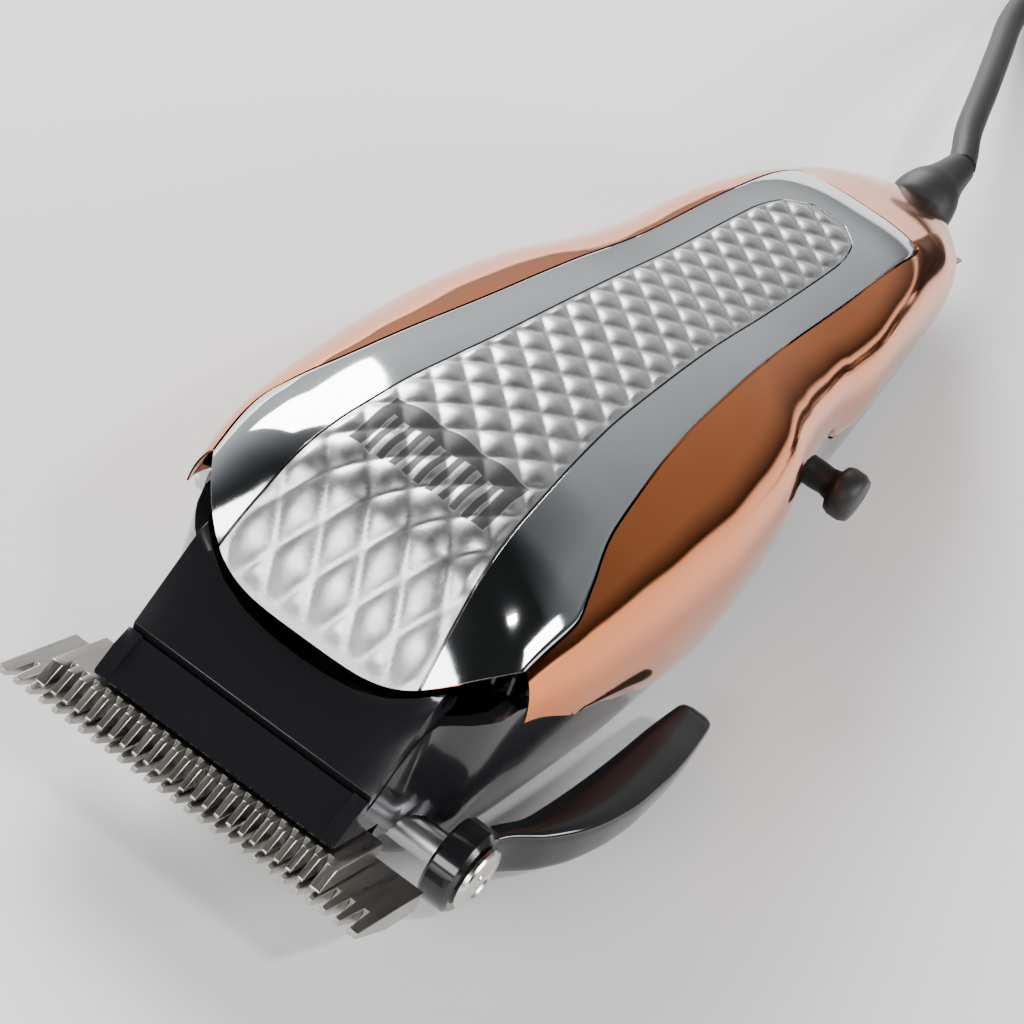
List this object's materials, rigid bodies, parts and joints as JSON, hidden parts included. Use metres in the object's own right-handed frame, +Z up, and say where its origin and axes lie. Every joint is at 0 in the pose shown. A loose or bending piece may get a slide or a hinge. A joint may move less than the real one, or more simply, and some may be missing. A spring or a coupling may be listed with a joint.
{
  "type": "hair clipper",
  "caption": "Corded hair clipper: copper-coloured cover with a quilted silver badge in a chrome frame, black housing, steel comb blades, taper lever, side switch, vibrator motor, mains cord",
  "frame": {"origin": "on the flat underside that the clipper lies on, under the middle of its length", "axes": "+X to the side with the taper lever and the switch, +Y back from the blades to the cord, +Z up from the underside to the badge"},
  "size_m": [0.0997, 0.2972, 0.0414],
  "materials": {
    "copper": "copper-coloured metallised plastic, mirror bright",
    "chrome": "chrome-plated plastic, mirror bright",
    "satin": "satin silver with a quilted relief",
    "black_gloss": "black moulded plastic, polished",
    "black_matte": "black moulded plastic, matte",
    "blade_steel": "ground carbon steel",
    "nickel": "nickel plate",
    "zinc": "zinc-plated steel",
    "motor_iron": "stacked iron sheets",
    "coil_wire": "lacquered copper wire",
    "white_nylon": "natural nylon",
    "cord_rubber": "black flexible PVC"
  },
  "bodies": {
    "case": {"top_cover": "copper", "chrome_trim": "chrome", "quilted_badge": "satin", "lower_housing": "black_gloss", "nose_cap": "black_gloss", "motor_core": "motor_iron", "coil_bobbin": "white_nylon", "coil_winding": "coil_wire", "motor_frame": "zinc", "arm_block": "zinc", "pivot_pin": "zinc", "terminal_block": "white_nylon", "switch_body": "black_matte", "case_screw_1": "zinc", "case_screw_2": "zinc", "case_screw_3": "zinc", "case_screw_4": "zinc", "strain_relief": "cord_rubber", "cord": "cord_rubber", "cord_coil": "cord_rubber", "plug_body": "cord_rubber", "plug_pin_left": "nickel", "plug_pin_right": "nickel"},
    "lever": {"taper_lever": "black_gloss", "lever_cap": "nickel", "lever_shaft": "zinc"},
    "taper": {"fixed_blade": "blade_steel", "taper_carriage": "white_nylon", "blade_screw_left": "zinc", "blade_screw_right": "zinc", "blade_spring": "zinc"},
    "cutter": {"moving_blade": "blade_steel", "cutter_guide": "white_nylon"},
    "arm": {"drive_arm": "zinc", "armature": "motor_iron", "return_spring_left": "zinc", "return_spring_right": "zinc"},
    "power_screw": {"power_screw": "zinc"},
    "spring_seat": {"spring_seat": "zinc"},
    "switch": {"switch_knob": "black_matte"}
  },
  "joints": [
    {"name": "taper_lever_joint", "type": "hinge", "parent": "case", "child": "lever", "pos_m": [0, -0.0685, 0.0084], "axis": [1, 0, 0], "range_deg": [0, 40]},
    {"name": "taper_slide_joint", "type": "slide", "parent": "case", "child": "taper", "axis": [0, -0.9397, 0.342], "range_m": [0, 0.00133]},
    {"name": "drive_arm_joint", "type": "hinge", "parent": "case", "child": "arm", "pos_m": [0.005, 0.024, 0.0169], "axis": [0, 0, 1], "range_deg": [-0.72, 0.72], "stiffness_Nm_per_rad": 0.5},
    {"name": "cutter_stroke_joint", "type": "slide", "parent": "case", "child": "cutter", "axis": [1, 0, 0], "range_m": [-0.0013, 0.0013]},
    {"name": "power_screw_joint", "type": "hinge", "parent": "case", "child": "power_screw", "pos_m": [0, -0.05, 0.0168], "axis": [1, 0, 0], "range_deg": [-180, 180]},
    {"name": "spring_seat_joint", "type": "slide", "parent": "case", "child": "spring_seat", "axis": [1, 0, 0], "range_m": [-0.00035, 0.00035]},
    {"name": "switch_joint", "type": "slide", "parent": "case", "child": "switch", "axis": [0, 1, 0], "range_m": [-0.0018, 0.0018]}
  ],
  "couplings": [
    {"joint": "taper_slide_joint", "follows": "taper_lever_joint", "m_per_rad": 0.0019},
    {"joint": "cutter_stroke_joint", "follows": "drive_arm_joint", "m_per_rad": 0.1028},
    {"joint": "power_screw_joint", "follows": "spring_seat_joint", "rad_per_m": 8975.9}
  ]
}
